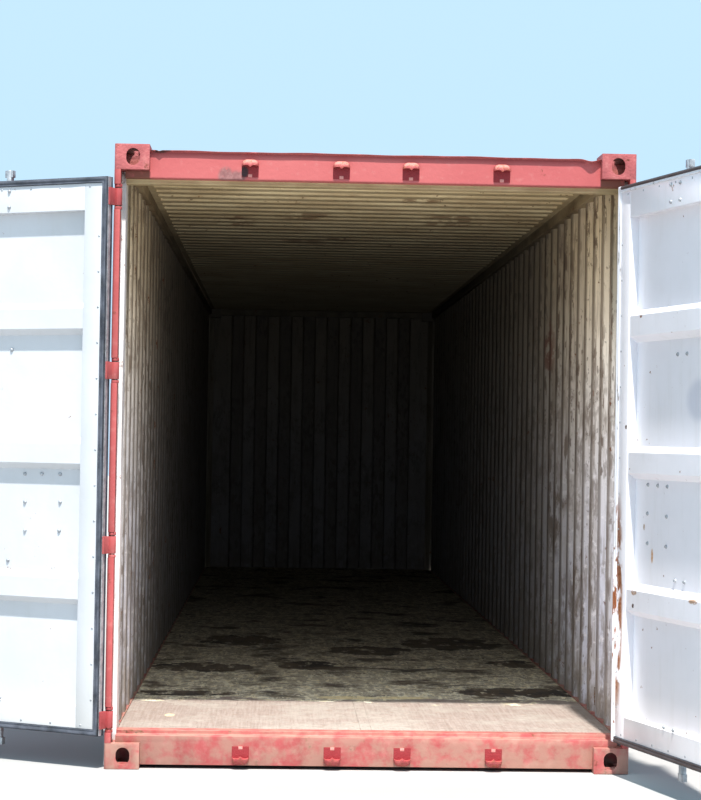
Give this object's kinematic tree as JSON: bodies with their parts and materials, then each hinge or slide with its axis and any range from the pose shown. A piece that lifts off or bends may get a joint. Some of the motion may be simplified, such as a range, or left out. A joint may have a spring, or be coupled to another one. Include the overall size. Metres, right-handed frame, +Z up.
{
  "type": "forty foot high cube shipping container",
  "caption": "Long corrugated steel freight container with two open end doors, cam keepers, hinged leaves and a bare interior.",
  "frame": {"origin": "centre of the plane on which the four bottom corner castings stand", "axes": "+X across to the right seen from the door end, +Y along the container from the door end to the front wall, +Z up"},
  "size_m": [3.781, 13.3436, 2.896],
  "materials": {
    "red_paint": "faded gloss paint with rust at edges",
    "white_paint": "gloss paint with small rust spots",
    "wall_paint": "dirty matt paint",
    "underframe_paint": "matt coating",
    "galvanised_steel": "dull zinc with rust",
    "gasket_rubber": "matt",
    "floor_wood": "dirty worn plywood"
  },
  "bodies": {
    "container": {"top_corner_castings": "red_paint", "bottom_corner_castings": "red_paint", "left_rear_post": "red_paint", "right_rear_post": "red_paint", "left_front_post": "red_paint", "right_front_post": "red_paint", "door_header": "red_paint", "door_sill": "red_paint", "cam_keepers": "red_paint", "hinge_lugs": "red_paint", "hinge_pins": "galvanised_steel", "front_top_rail": "red_paint", "front_bottom_rail": "red_paint", "left_top_side_rail": "red_paint", "right_top_side_rail": "red_paint", "left_bottom_side_rail": "red_paint", "right_bottom_side_rail": "red_paint", "left_side_wall": "wall_paint", "right_side_wall": "wall_paint", "front_wall": "wall_paint", "roof": "wall_paint", "floor_boards": "floor_wood", "floor_centre_strip": "galvanised_steel", "cross_members": "underframe_paint", "gooseneck_tunnel": "underframe_paint", "tunnel_outriggers": "underframe_paint", "ventilators": "red_paint", "lashing_rings": "galvanised_steel"},
    "left_door": {"left_door_stiles": "white_paint", "left_door_rails": "white_paint", "left_door_panel": "white_paint", "left_door_gasket": "gasket_rubber", "left_door_lock_rods": "galvanised_steel", "left_door_rod_guides": "red_paint", "left_door_handles": "galvanised_steel", "left_door_hinge_blades": "red_paint"},
    "right_door": {"right_door_stiles": "white_paint", "right_door_rails": "white_paint", "right_door_panel": "white_paint", "right_door_gasket": "gasket_rubber", "right_door_lock_rods": "galvanised_steel", "right_door_rod_guides": "red_paint", "right_door_handles": "galvanised_steel", "right_door_hinge_blades": "red_paint"}
  },
  "joints": [
    {"name": "left_door_hinge", "type": "hinge", "parent": "container", "child": "left_door", "pos_m": [-1.2, -6.076, 1.4], "axis": [0, 0, -1], "range_deg": [-208, 54]},
    {"name": "right_door_hinge", "type": "hinge", "parent": "container", "child": "right_door", "pos_m": [1.2, -6.076, 1.4], "axis": [0, 0, 1], "range_deg": [-105, 157]}
  ]
}
